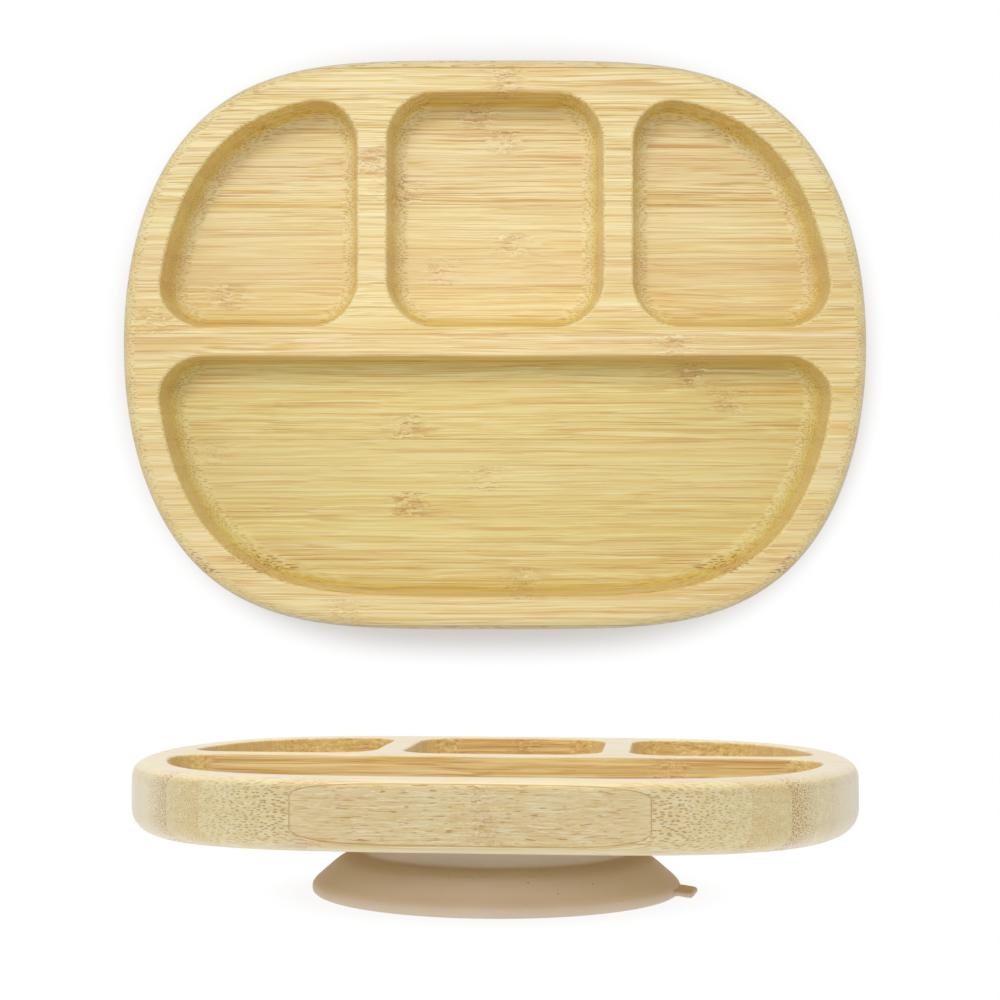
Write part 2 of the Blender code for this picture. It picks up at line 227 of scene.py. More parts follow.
def mill_outside(bm):
    """The rounded outer edge; returns its lowest and highest rings."""
    outline = with_normals(OUTLINE, 1.5 * MM)
    loops = []
    for k in range(7):
        angle = math.radians(90 * k / 6)
        cos, sin = math.cos(angle), math.sin(angle)
        z = BOTTOM_Z + BOTTOM_R * (1 - cos)
        loops.append(ring(bm, outline, BOTTOM_R * (1 - sin), z, -sin, -cos))
    for k in range(9):
        angle = math.radians(90 * k / 8)
        cos, sin = math.cos(angle), math.sin(angle)
        z = TOP_Z - TOP_R * (1 - sin)
        loops.append(ring(bm, outline, TOP_R * (1 - cos), z, -cos, sin))
    skin_all(bm, loops)
    return loops[0], loops[-1]


def mill_pocket(bm, planes, centre):
    """One pocket's mouth rounding, wall, fillet and floor; returns the ring round its mouth."""
    curve = with_normals(pocket_points(planes, centre), 1.2 * MM)
    fillet_inset = (DEPTH - MOUTH_R - FLOOR_R) * math.tan(math.radians(DRAFT))
    walls = []
    for k in range(5):
        angle = math.radians((90 - DRAFT) * k / 4)
        cos, sin = math.cos(angle), math.sin(angle)
        z = TOP_Z - MOUTH_R * (1 - cos)
        walls.append(ring(bm, curve, -MOUTH_R * (1 - sin), z, sin, cos))
    for k in range(9):
        angle = math.radians(DRAFT + (90 - DRAFT) * k / 8)
        cos, sin = math.cos(angle), math.sin(angle)
        z = TOP_Z - DEPTH + FLOOR_R * (1 - sin)
        walls.append(ring(bm, curve, fillet_inset + FLOOR_R * (1 - cos), z, cos, sin))
    skin_all(bm, walls)
    bm.faces.new(walls[-1])
    return walls[0]


def mill_groove(bm):
    """The round groove underneath, and the disc inside it; returns the groove's outer ring."""
    angle = np.linspace(0.0, 2 * math.pi, 120, endpoint=False)
    circle = np.column_stack([np.cos(angle), np.sin(angle)])
    groove_z = BOTTOM_Z + GROOVE_DEPTH
    outer_low, outer_high, inner_high, inner_low = (
        ring(bm, (circle * radius, -circle), 0, z, 0, -1)
        for radius, z in (
            (GROOVE_OUT, BOTTOM_Z),
            (GROOVE_OUT, groove_z),
            (GROOVE_IN, groove_z),
            (GROOVE_IN, BOTTOM_Z),
        )
    )
    before = set(bm.faces)
    skin(bm, outer_high, outer_low)
    skin(bm, outer_high[::-1], inner_high[::-1])
    skin(bm, inner_low, inner_high)
    bm.faces.new(inner_low[::-1])
    flat_layer = bm.faces.layers.int["flat"]
    for face in set(bm.faces) - before:
        face[flat_layer] = 1
    return outer_low


def milled_form():
    """The whole plate; 'nrm' keeps exact normals, 'flat' marks faces that use their own."""
    bm = bmesh.new()
    bm.verts.layers.float_vector.new("nrm")
    bm.faces.layers.int.new("flat")
    lowest, highest = mill_outside(bm)

    half = DIVIDER / 2
    side_x, middle_x = SIDE_DIVIDER_X + half, SIDE_DIVIDER_X - half
    rear_y, front_y = DIVIDER_Y + half, DIVIDER_Y - half
    # planes that bound each pocket, and a point inside it: front, then rear middle, left, right
    pockets = [
        ([(0, 1, front_y)], (0.0, -38.0 * MM)),
        ([(0, -1, -rear_y), (1, 0, middle_x), (-1, 0, middle_x)], (0.0, 40.0 * MM)),
        ([(0, -1, -rear_y), (1, 0, -side_x)], (-64.0 * MM, 33.0 * MM)),
        ([(0, -1, -rear_y), (-1, 0, -side_x)], (64.0 * MM, 33.0 * MM)),
    ]
    mouths = [mill_pocket(bm, planes, centre) for planes, centre in pockets]
    fill(bm, loop_edges(bm, [highest, *mouths]), Vector((0, 0, 1)), is_flat=0)
    groove = mill_groove(bm)
    fill(bm, loop_edges(bm, [lowest, groove]), Vector((0, 0, -1)), is_flat=1)
    return bm


def cut_strip(form, front_y, rear_y):
    """The milled form between two glue planes, closed, as a mesh with exact normals."""
    bm = form.copy()
    normal_layer = bm.verts.layers.float_vector["nrm"]
    flat_layer = bm.faces.layers.int["flat"]
    for y, side in ((front_y, 1), (rear_y, -1)):
        if y is None:
            continue
        cut = bmesh.ops.bisect_plane(
            bm,
            geom=bm.verts[:] + bm.edges[:] + bm.faces[:],
            dist=1e-7,
            plane_co=(0, y, 0),
            plane_no=(0, side, 0),
            clear_inner=True,
            clear_outer=False,
        )
        edges = [e for e in cut["geom_cut"] if isinstance(e, bmesh.types.BMEdge)]
        fill(bm, edges, Vector((0, -side, 0)), is_flat=1)
    bm.normal_update()
    normals = []
    for face in bm.faces:
        face.smooth = True
        for loop in face.loops:
            normal = face.normal if face[flat_layer] else loop.vert[normal_layer]
            normals.append(normal.normalized() if normal.length > 1e-6 else face.normal)
    mesh = bpy.data.meshes.new("strip")
    bm.to_mesh(mesh)
    bm.free()
    mesh.normals_split_custom_set([tuple(normal) for normal in normals])
    return mesh


# ------------------------------------------------------------------ node helpers
def srgb(*channels):
    """Linear RGBA from sRGB channels of 0 to 255."""
    out = []
    for value in channels:
        value /= 255
        out.append(value / 12.92 if value <= 0.04045 else ((value + 0.055) / 1.055) ** 2.4)
    return (*out, 1.0)


def operation(kind, swapped=False):
    def apply(self, other):
        pair = (other, self) if swapped else (self, other)
        return self.nodes.math(kind, *pair)

    return apply


class Value:
    """A node's output. Each arithmetic step on it adds one math node."""

    def __init__(self, nodes, socket):
        self.nodes = nodes
        self.socket = socket

    __add__ = operation("ADD")
    __radd__ = operation("ADD", swapped=True)
    __sub__ = operation("SUBTRACT")
    __rsub__ = operation("SUBTRACT", swapped=True)
    __mul__ = operation("MULTIPLY")
    __truediv__ = operation("DIVIDE")
    __pow__ = operation("POWER")

    def __abs__(self):
        return self.nodes.math("ABSOLUTE", self)

    def smooth(self, start, end, low=0.0, high=1.0):
        """Eases from low at start to high at end; start may be the larger."""
        return self.nodes.map_range("SMOOTHSTEP", self, start, end, low, high)

    def ramp(self, start, end, low=0.0, high=1.0):
        """Runs straight from low at start to high at end."""
        return self.nodes.map_range("LINEAR", self, start, end, low, high)

    def between(self, low, high):
        """low where this is 0, high where it is 1."""
        return self.ramp(0.0, 1.0, low, high)


class Nodes:
    """Short-hand for a node tree. Inputs are Values, sockets or constants."""

    def __init__(self, tree):
        self.tree = tree

    def add(self, kind, feeds=None, **settings):
        node = self.tree.nodes.new(kind)
        for key, value in settings.items():
            setattr(node, key, value)
        for key, value in (feeds or {}).items():
            self.feed(node.inputs[key], value)
        return node

    def feed(self, socket, value):
        if isinstance(value, Value):
            value = value.socket
        if isinstance(value, bpy.types.NodeSocket):
            self.tree.links.new(value, socket)
        else:
            socket.default_value = value

    def value(self, node, output=0):
        return Value(self, node.outputs[output])

    def math(self, kind, *operands):
        return self.value(self.add("ShaderNodeMath", dict(enumerate(operands)), operation=kind))

    def map_range(self, interpolation, *values):
        feeds = dict(enumerate(values))
        kind = "ShaderNodeMapRange"
        return self.value(self.add(kind, feeds, interpolation_type=interpolation, clamp=True))

    def vec(self, x, y, z):
        return self.value(self.add("ShaderNodeCombineXYZ", {0: x, 1: y, 2: z}))

    def split(self, vector):
        node = self.add("ShaderNodeSeparateXYZ", {0: vector})
        return [Value(self, socket) for socket in node.outputs]

    def noise(self, vector, scale=1.0, detail=2.0, rough=0.5):
        feeds = {"Vector": vector, "Scale": scale, "Detail": detail, "Roughness": rough}
        return self.value(self.add("ShaderNodeTexNoise", feeds, noise_dimensions="3D"), "Fac")

    def grain(self, place, along, across, detail=2.0, rough=0.5):
        """Noise at the place (x, y, z), with its own frequency along and across the fibres."""
        x, y, z = place
        return self.noise(self.vec(x * along, y * across, z * across), detail=detail, rough=rough)

    def cells(self, vector, scale=1.0, randomness=1.0, dimensions="3D"):
        """Distance to the nearest cell centre, and that cell's random colour."""
        feeds = {"Vector": vector, "Scale": scale, "Randomness": randomness}
        kind = "ShaderNodeTexVoronoi"
        node = self.add(kind, feeds, voronoi_dimensions=dimensions, feature="F1")
        return self.value(node, "Distance"), self.value(node, "Color")

    def mix(self, factor, under, over, blend="MIX"):
        """Colours are Values or sRGB triples."""
        node = self.add(
            "ShaderNodeMix", data_type="RGBA", blend_type=blend, clamp_factor=True
        )
        self.feed(node.inputs["Factor"], factor)
        sockets = [s for s in node.inputs if s.type == "RGBA"]
        for socket, colour in zip(sockets, (under, over)):
            self.feed(socket, srgb(*colour) if isinstance(colour, tuple) else colour)
        return Value(self, [s for s in node.outputs if s.type == "RGBA"][0])

    def paint(self, colour, *coats):
        """Lays coats (mask, colour) over a colour, one after the other."""
        for mask, over in coats:
            colour = self.mix(mask, colour, over)
        return colour

    # multiplies a colour in under a mask; it carries both tints of the wood and painted shade
    def multiply_in(self, colour, mask, over):
        return self.mix(mask, colour, over, "MULTIPLY")

    def object_space(self):
        """The place in the object, in millimetres, and the normal."""
        coord = self.add("ShaderNodeTexCoord")
        feeds = {0: coord.outputs["Object"], "Scale": 1000.0}
        scaled = self.add("ShaderNodeVectorMath", feeds, operation="SCALE")
        return self.value(scaled), coord.outputs["Normal"]

    def bump(self, height, strength, distance):
        feeds = {"Strength": strength, "Distance": distance, "Height": height}
        return self.value(self.add("ShaderNodeBump", feeds))


def new_material(name):
    material = bpy.data.materials.new(name)
    material.use_nodes = True
    material.node_tree.nodes.clear()
    return material, Nodes(material.node_tree)


# ------------------------------------------------------------------ bamboo
NO_NODE = 500.0  # a node this far along X is off the strip

# the group's inputs, with their defaults
BAMBOO_INPUTS = {
    "Seed": 0.0,
    "Tone": 0.0,  # higher is darker
    "Warmth": 0.0,
    "Node X": NO_NODE,  # mm
    "Rind": 1.0,  # 1 where the rind was at the strip's rear, -1 at its front
    "Front": 0.0,  # y of the strip's front glue plane, mm
    "Width": 7.81,  # mm
    "Streaks": 1.0,
    "Short": 0.0,  # 1 for the outermost strips, whose streaks are short
    "Knot": 1.0,  # strength of the marks at the node
    "Dots": 1.0,  # strength of the dots on end grain
}

# sRGB
PALE = (247, 232, 176)
BODY = (237, 213, 145)
HONEY = (226, 190, 112)
STREAK_BROWN = (196, 138, 62)
STREAK_GOLD = (224, 178, 66)
PORE = (182, 124, 62)

# the outline's formula gives less than the first in the pockets, more than the second outside
POCKET_SHAPE, OUTSIDE_SHAPE = 0.86, 0.93


def read_place(nodes, wood):
    """Where a point is on the board and in its strip, and how it is seen."""
    position, normal = nodes.object_space()
    wood.x, wood.y, wood.z = nodes.split(position)
    wood.normal = nodes.split(normal)
    # 1 on end grain, 0 along the strip
    wood.end_grain = abs(wood.normal[0]).smooth(0.01, 0.16)
    # 1 where a face is seen edge on
    wood.slanting = nodes.value(nodes.add("ShaderNodeLayerWeight", {"Blend": 0.5}), "Facing")
    wood.rear_half = wood.y.smooth(4.0, 16.0)

    # 1 for an eye low down at the board's own level, 0 for an eye well above it
    incoming = nodes.add("ShaderNodeNewGeometry").outputs["Incoming"]
    eye = nodes.add(
        "ShaderNodeVectorTransform",
        {0: incoming},
        vector_type="VECTOR",
        convert_from="WORLD",
        convert_to="OBJECT",
    )
    unit = nodes.add("ShaderNodeVectorMath", {0: eye.outputs[0]}, operation="NORMALIZE")
    wood.low_eye = nodes.split(nodes.value(unit))[2].smooth(0.75, 0.30)

    steep = wood.normal[2].smooth(0.93, 0.35)
    shape_x = (abs(wood.x) / (HALF_X / MM)) ** POWER_X
    wood.shape = shape_x + (abs(wood.y) / (HALF_Y / MM)) ** POWER_Y
    wood.pocket_wall = steep * wood.shape.smooth(OUTSIDE_SHAPE, POCKET_SHAPE)

    # each strip reads its own stretch of the noise
    wood.shifted_x = wood.x + wood.seed * 37.7
    wood.raw = (wood.shifted_x, wood.y, wood.z)

    # across the strip, 0 at the pith side and 1 at the rind side
    across = (wood.y - wood.front) / wood.width
    flipped = 1.0 - across
    rind_rear = nodes.math("GREATER_THAN", wood.rind, 0.0)
    wood.direction = rind_rear * 2.0 - 1.0
    wood.depth = across * rind_rear + flipped * (1.0 - rind_rear)


def bend_fibres(nodes, wood):
    """The path of the fibres: a slow wander, and a swirl where they part at the node."""
    from_node = wood.x - wood.node_x
    wander = nodes.grain(wood.raw, along=0.05, across=0.5)
    near = from_node + (wander - 0.5) * 5.0
    # bell curves round the node, this many millimetres wide
    wood.swell, wood.core = (
        nodes.math("EXPONENT", (near / reach) ** 2.0 * -1.0) for reach in (5.5, 2.4)
    )
    swirl = nodes.grain(wood.raw, along=0.33, across=0.55)
    push = (swirl - 0.5) * (wood.swell * 2.6)

    drift_y = (nodes.grain(wood.raw, along=0.018, across=0.12) - 0.5) * 2.4
    drift_place = nodes.vec(wood.shifted_x * 0.02, wood.y * 0.1, wood.z * 0.1 + 31.0)
    drift_z = (nodes.noise(drift_place) - 0.5) * 2.4
    wood.fibre_y = wood.y + drift_y + push
    wood.fibre_z = wood.z + drift_z + push * 0.7
    wood.fibre = (wood.shifted_x, wood.fibre_y, wood.fibre_z)

    # bundles crowd together towards the rind
    crowd = wood.depth * 0.70 + nodes.math("MAXIMUM", wood.depth, 0.0) ** 3.0 * 0.45
    wood.bundle_y = crowd * wood.width * wood.direction + drift_y * 0.6 + push


def grow_bundles(nodes, wood):
    """Vascular bundles: rods along X, and finer rods between them."""
    across = wood.bundle_y / 0.66 + wood.seed * 13.0  # spacings in mm
    section = nodes.vec(across, wood.fibre_z / 0.72, 0.0)
    wood.distance, cell = nodes.cells(section, randomness=0.85, dimensions="2D")
    wood.pick, wood.gold_pick, _ = nodes.split(cell)
    wood.radius = wood.depth.between(0.27, 0.41) * wood.dots.ramp(0.5, 1.5, 0.86, 1.14)
    rod = wood.distance.smooth(wood.radius, wood.radius * 0.45)
    # a rod isn't equally dark all along, and at the skin it comes and goes in short dashes
    beat_along = wood.short.between(0.02, 0.22)
    beat = nodes.grain(wood.fibre, along=beat_along, across=1.6, detail=1.0)
    rod = rod * beat.smooth(0.42, 0.60, low=wood.short.between(0.25, 0.0))
    # fewer of the rods are faint towards the rind
    wood.faint_share = wood.depth.between(0.55, 0.10)
    wood.rod = rod * wood.pick.smooth(wood.faint_share, wood.faint_share + 0.45, low=0.25)

    spacing = 0.46  # mm
    thin_place = nodes.vec(
        wood.shifted_x * 0.035, wood.fibre_y / spacing, wood.fibre_z / spacing
    )
    thin_distance, thin_cell = nodes.cells(thin_place)
    thin_pick = nodes.split(thin_cell)[1]
    wood.thin_rod = thin_distance.smooth(0.42, 0.12) * thin_pick.smooth(0.35, 0.95)


def ground_colour(nodes, wood):
    """Streaks between the bundles, from broad to hair-fine, summed into one level of tone."""
    # a strip cut at its skin shows them shorter and fainter
    wood.streak_x = wood.shifted_x * wood.short.between(1.0, 4.5)
    place = (wood.streak_x, wood.fibre_y, wood.fibre_z)
    wood.broad = nodes.grain(place, along=0.008, across=0.62, detail=3.0, rough=0.6)
    wood.fine = nodes.grain(place, along=0.024, across=2.2, detail=3.0, rough=0.6)
    wood.hair = nodes.grain(place, along=0.05, across=7.0, detail=2.0, rough=0.6)
    patch = nodes.grain(wood.raw, along=0.03, across=0.2)
    wood.calm = wood.short.between(1.0, 0.45)

    # each part's own weight; 0.42 is the level of plain wood
    level = (
        (wood.broad - 0.5) * (wood.calm * 2.3)
        + 0.42
        + (wood.fine - 0.5) * (wood.streaks * 2.0)
        + (wood.hair - 0.5) * 0.9
        + (patch - 0.5) * 0.4
        + wood.tone * 0.26
        + wood.depth.between(-0.06, 0.08)
    )
    return nodes.paint(
        nodes.mix(level.ramp(-0.1, 0.55), PALE, BODY),
        (level.ramp(0.5, 1.35), HONEY),
        (wood.warmth * 0.35, (232, 200, 150)),
    )


def paint_streaks(nodes, wood, colour):
    """Streaks on the faces along the strip; the number in each coat is its strength."""

    def line(shift, across, along, crest):
        """Fibres that run on for a long way: the crests of a noise stretched along the strip."""
        x = wood.streak_x * along
        place = nodes.vec(x, wood.fibre_y * across + shift, wood.fibre_z * across)
        return nodes.noise(place, detail=1.5, rough=0.55).smooth(*crest)

    brown_line = line(shift=11.3, across=1.30, along=0.014, crest=(0.585, 0.66))
    gold_line = line(shift=47.9, across=1.15, along=0.011, crest=(0.59, 0.67))
    pale_line = line(shift=83.1, across=1.45, along=0.013, crest=(0.59, 0.67))

    along = 1.0 - wood.end_grain
    threads = wood.fine + (wood.hair - 0.5) * 0.5
    thread = threads.smooth(0.585, 0.72) * (wood.streaks * wood.depth.between(0.6, 1.0))
    glint = threads.smooth(0.41, 0.31) * wood.streaks
    rod_colour = nodes.mix(wood.gold_pick.smooth(0.42, 0.55), STREAK_BROWN, STREAK_GOLD)
    thread_colour = nodes.mix(wood.broad.smooth(0.44, 0.56), STREAK_GOLD, STREAK_BROWN)
    lined = along * wood.streaks.ramp(0.4, 1.2, low=0.45) * wood.calm
    return nodes.paint(
        colour,
        (wood.rod * 0.75 * wood.streaks * along, rod_colour),
        (thread * 0.80 * along, thread_colour),
        (wood.thin_rod * 0.15 * along, STREAK_BROWN),
        (glint * 0.55 * along, (252, 241, 200)),
        (pale_line * 0.55 * lined, (253, 243, 205)),
        (gold_line * 0.62 * lined, (228, 190, 88)),
        (brown_line * 0.68 * lined, (208, 152, 82)),
    )


def paint_dots(nodes, wood, colour):
    """Bundles on end grain: a dark dot in a pale ring, with thin rods between."""
    centre = wood.distance.smooth(wood.radius * 0.95, wood.radius * 0.40)
    chosen = wood.pick.smooth(wood.faint_share * 0.5, wood.faint_share * 0.5 + 0.3, low=0.60)
    dot = centre * chosen * wood.depth.between(0.45, 1.0) * wood.dots
    # fainter on the walls of the rear pockets when the eye is low
    far_wall = wood.rear_half * wood.low_eye * wood.pocket_wall
    wood.dot = dot * far_wall.between(1.0, 0.35)
    halo = wood.distance.smooth(0.62, 0.46) * wood.distance.smooth(0.30, 0.44)
    return nodes.paint(
        colour,
        (wood.dot * 0.72 * wood.end_grain, PORE),
        (halo * 0.42 * wood.end_grain, PALE),
        (wood.thin_rod * 0.40 * wood.end_grain, (176, 132, 70)),
    )


def paint_skin(nodes, wood, colour):
    """Short dashes on the outermost strips, brown and pale."""
    on_skin = wood.short * (1.0 - wood.end_grain)
    dart = nodes.grain(wood.fibre, along=0.26, across=2.1, detail=1.0)
    return nodes.paint(
        colour,
        (on_skin * dart.smooth(0.63, 0.69) * 0.85, (196, 142, 80)),
        (on_skin * dart.smooth(0.37, 0.31) * 0.60, (246, 234, 198)),
    )


def paint_node(nodes, wood, colour):
    """Wavy dashes, dark and light, over a browner patch round the node, with open pores."""
    patch = nodes.grain(wood.fibre, along=0.16, across=0.42).smooth(0.42, 0.62)
    dash = nodes.grain(wood.fibre, along=0.11, across=1.7, detail=3.0, rough=0.62)
    speck = nodes.grain(wood.fibre, along=0.85, across=1.9, detail=3.0, rough=0.65)
    wood.speck = speck.smooth(0.62, 0.69) * wood.knot
    return nodes.paint(
        colour,
        (patch * wood.swell * (wood.knot * 0.42), (204, 156, 92)),
        (dash.smooth(0.53, 0.62) * wood.swell * (wood.knot * 0.78), (182, 122, 60)),
        (dash.smooth(0.46, 0.37) * wood.swell * (wood.knot * 0.50), (250, 236, 196)),
        (wood.speck * wood.core * 0.70, (126, 78, 36)),
    )


def paint_seam(nodes, wood, colour):
    """Glue lines: a hair of darker wood at each side of a strip, uneven along the seam."""
    to_rear = wood.front + wood.width - wood.y
    edge = nodes.math("MINIMUM", wood.y - wood.front, to_rear)
    uneven_place = nodes.vec(wood.shifted_x * 0.02, wood.seed, wood.z * 0.03)
    uneven = nodes.noise(uneven_place, detail=3.0, rough=0.7)
    # narrower on faces that lie along the glue plane; 1.002 keeps the root's argument positive
    slant = nodes.math("SQRT", 1.002 - wood.normal[1] * wood.normal[1])
    reach = uneven.ramp(0.35, 0.7, 0.08, 0.30) * slant * wood.short.between(1.0, 3.4)
    strength = nodes.math(
        "MAXIMUM", uneven.smooth(0.42, 0.70, 0.06, 0.52), wood.short * 0.8
    )
    wood.seam = edge.smooth(reach, reach * 0.1) * strength
    return nodes.mix(wood.seam, colour, (186, 138, 66))


def shade_and_tint_pockets(nodes, wood, colour):
    """Painted shade, a deeper colour, on the pockets' walls; and deeper colour on the front pocket's floor.
    """
    # painted shade on the walls: deeper in the rear pockets for a low eye, yellower for a high eye
    frontal_shade = nodes.mix(wood.rear_half, (235, 228, 214), (226, 210, 180))
    wall = nodes.mix(wood.low_eye, (248, 238, 172), frontal_shade)
    colour = nodes.multiply_in(colour, wood.pocket_wall * 0.85, wall)
    # walls that run along the fibres; seen from above they get a yellower painted shade
    cross = wood.pocket_wall * abs(wood.normal[1]).smooth(0.5, 0.9)
    colour = nodes.multiply_in(colour, cross * (0.9 - wood.low_eye * 0.9), (255, 250, 196))
    # they show the fibres as bolder bands, dark and light
    band_place = nodes.vec(wood.shifted_x * 0.012, wood.fibre_y * 0.8, wood.fibre_z * 0.85)
    bands = nodes.noise(band_place, rough=0.6)
    colour = nodes.multiply_in(colour, cross * bands.smooth(0.52, 0.66, high=0.55), (214, 178, 120))
    colour = nodes.mix(cross * bands.smooth(0.46, 0.34, high=0.40), colour, (248, 228, 172))

    floor_z = (TOP_Z - DEPTH) / MM
    floor = wood.z.smooth(floor_z + 5.5, floor_z + 0.5) * nodes.math("LESS_THAN", wood.y, 0.0)
    inside = wood.shape.smooth(OUTSIDE_SHAPE, POCKET_SHAPE)
    return nodes.multiply_in(colour, floor * inside, (245, 248, 231))


def tint_and_sheen_outside(nodes, wood, colour):
    """The outside is greyer than the top; a painted sheen makes faces paler where a low eye sees them nearly
    edge on.
    """
    steep = wood.normal[2].smooth(0.85, 0.35)
    outside = steep * wood.shape.smooth(POCKET_SHAPE, OUTSIDE_SHAPE)
    colour = nodes.multiply_in(colour, outside, (228, 232, 247))
    # painted sheen on the outside and on the top, for a low eye and a face seen edge on
    side_sheen = outside * wood.slanting.smooth(0.30, 0.85, high=0.42)
    top_sheen = wood.normal[2].smooth(0.45, 0.80) * wood.slanting.smooth(0.12, 0.90, high=0.6)
    painted_sheen = nodes.math("MAXIMUM", side_sheen, top_sheen)
    return nodes.mix(painted_sheen * wood.low_eye, colour, (240, 232, 218))


def bamboo_group():
    group = bpy.data.node_groups.new("bamboo_solid", "ShaderNodeTree")
    for name, default in BAMBOO_INPUTS.items():
        socket = group.interface.new_socket(
            name, in_out="INPUT", socket_type="NodeSocketFloat"
        )
        socket.default_value = default
    group.interface.new_socket("Shader", in_out="OUTPUT", socket_type="NodeSocketShader")
    nodes = Nodes(group)
    inputs = nodes.add("NodeGroupInput")
    # wood holds the inputs (as wood.node_x and so on) and every value that later steps share
    wood = SimpleNamespace(
        **{name.lower().replace(" ", "_"): nodes.value(inputs, name) for name in BAMBOO_INPUTS}
    )
    read_place(nodes, wood)
    bend_fibres(nodes, wood)
    grow_bundles(nodes, wood)
    colour = ground_colour(nodes, wood)
    for coat in (
        paint_streaks,
        paint_dots,
        paint_skin,
        paint_node,
        paint_seam,
        shade_and_tint_pockets,
        tint_and_sheen_outside,
    ):
        colour = coat(nodes, wood, colour)

    # streaks stand up a little; dots, rods, seams and pores lie lower
    height = (
        wood.fine * 0.35
        + wood.dot * wood.end_grain * -0.15
        + wood.rod * -0.08
        - wood.seam * 0.5
        - wood.speck * wood.core * 0.6
    )
    shader = nodes.add(
        "ShaderNodeBsdfPrincipled",
        {
            "Base Color": colour,
            "Roughness": 0.50 + (wood.fine - 0.5) * 0.25 + wood.rod * 0.08,
            "Specular IOR Level": 0.5,
            "Sheen Weight": 0.22,
            "Sheen Roughness": 0.45,
            "Normal": nodes.bump(height, strength=0.25, distance=0.00012),
        },
    )
    nodes.add("NodeGroupOutput", {"Shader": shader.outputs[0]})
    return group


def bamboo_material(group, name, values):
    material, nodes = new_material(name)
    node = nodes.add("ShaderNodeGroup", values, node_tree=group)
    nodes.add("ShaderNodeOutputMaterial", {"Surface": node.outputs[0]})
    return material


# ------------------------------------------------------------------ strips
# one row for each strip, front to rear; the columns are these inputs of the bamboo
GROWTH_COLUMNS = ("Node X", "Tone", "Streaks", "Knot", "Dots", "Rind")
GROWTH = [
    (3.5, 0.85, 1.0, 0.5, 1.0, -1.0),
    (-44.6, -0.1, 0.8, 0.4, 1.0, -1.0),
    (8.5, 0.8, 0.9, 0.7, 0.6, -1.0),
    (NO_NODE, 0.3, 1.0, 0.0, 1.7, -1.0),
    (NO_NODE, 0.2, 0.6, 0.0, 0.7, 1.0),
    (-26.2, 0.6, 0.8, 1.2, 0.8, -1.0),
    (-3.0, -0.4, 0.55, 0.5, 1.0, 1.0),
    (-86.2, -0.2, 0.5, 0.4, 1.0, 1.0),
    (-27.1, 0.1, 0.9, 1.0, 1.0, -1.0),
    (70.7, 0.5, 0.8, 0.8, 1.0, 1.0),
    (59.4, 0.5, 0.9, 0.8, 1.0, -1.0),
    (52.9, 0.5, 1.0, 0.6, 1.0, 1.0),
    (-101.0, 0.6, 0.9, 0.5, 1.0, -1.0),
    (-81.1, 0.2, 0.9, 0.7, 1.0, 1.0),
    (-16.2, 0.0, 0.6, 0.6, 1.0, 1.0),
    (6.1, -0.2, 0.6, 0.7, 1.0, -1.0),
    (NO_NODE, -0.6, 0.6, 0.0, 1.0, 1.0),
    (-28.7, -0.4, 1.2, 0.8, 1.0, -1.0),
    (-36.3, -0.5, 1.1, 0.8, 1.0, -1.0),
    (3.0, -0.4, 1.2, 0.6, 1.0, 1.0),
    (-5.1, -0.4, 1.1, 0.6, 1.0, 1.0),
    (3.0, -0.2, 1.0, 0.8, 1.0, -1.0),
    (NO_NODE, -0.2, 1.0, 0.0, 1.0, 1.0),
]


def build_strips():
    form = milled_form()
    group = bamboo_group()
    boxes = [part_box(name) for name in STRIPS]
    seams = [(front[1][1] + rear[0][1]) / 2 for front, rear in zip(boxes, boxes[1:])]
    pitch = (seams[-1] - seams[0]) / (len(seams) - 1)
    rng = random.Random(20)
    last = len(STRIPS) - 1
    strips = []
    for k, (name, growth) in enumerate(zip(STRIPS, GROWTH)):
        front_y = seams[k - 1] + HALF_GLUE if k else None
        rear_y = seams[k] - HALF_GLUE if k < last else None
        obj = add_object(f"plate_{name}", cut_strip(form, front_y, rear_y))
        values = {
            "Seed": float(k + 1),
            "Warmth": rng.uniform(0.0, 1.0) ** 2,
            "Front": (seams[k - 1] if k else seams[0] - pitch) / MM,
            "Width": pitch / MM,
            "Short": 1.0 if k in (0, last) else 0.0,
            **dict(zip(GROWTH_COLUMNS, growth)),
        }
        obj.data.materials.append(bamboo_material(group, f"bamboo_{k + 1:02d}", values))
        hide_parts(name)
        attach(obj, "plate")
        strips.append(obj)
    form.free()
    return strips


pieces = build_strips()


# ------------------------------------------------------------------ silicone
def silicone_material():
    material, nodes = new_material("silicone_beige")
    place = nodes.object_space()[0]
    cloud = nodes.noise(place, scale=0.06, detail=3.0, rough=0.6)
    dust = nodes.noise(place, scale=1.6, detail=3.0, rough=0.6)
    grain = nodes.noise(place, scale=6.0)
    distance, cell = nodes.cells(place, scale=0.22)
    # small brown specks, in a few of the cells
    speck = distance.smooth(0.085, 0.05) * nodes.split(cell)[0].smooth(0.72, 0.80)
    colour = nodes.paint(
        nodes.mix(cloud.ramp(0.3, 0.7), (212, 198, 181), (217, 204, 189)),
        (dust.ramp(0.35, 0.75, high=0.25), (217, 205, 190)),
    )
    # painted shade: darker below the collar, in the shadow of the plate above; darker again near the floor;
    # heights in mm
    height = nodes.split(place)[2]
    colour = nodes.multiply_in(colour, height.smooth(12.6, 11.6), (245, 243, 240))
    colour = nodes.multiply_in(colour, height.smooth(7.5, 3.5), (251, 246, 240))
    colour = nodes.mix(speck * 0.5, colour, (120, 92, 66))
    shader = nodes.add(
        "ShaderNodeBsdfPrincipled",
        {
            "Base Color": colour,
            "Roughness": dust.ramp(0.3, 0.7, 0.52, 0.66),
            "Specular IOR Level": 0.35,
            "Subsurface Weight": 0.12,
            "Subsurface Radius": (1.0, 0.6, 0.4),
            "Subsurface Scale": 0.0015,
            "Normal": nodes.bump(grain + dust * 0.6, strength=0.12, distance=0.00006),
        },
    )
    nodes.add("ShaderNodeOutputMaterial", {"Surface": shader.outputs[0]})
    return material


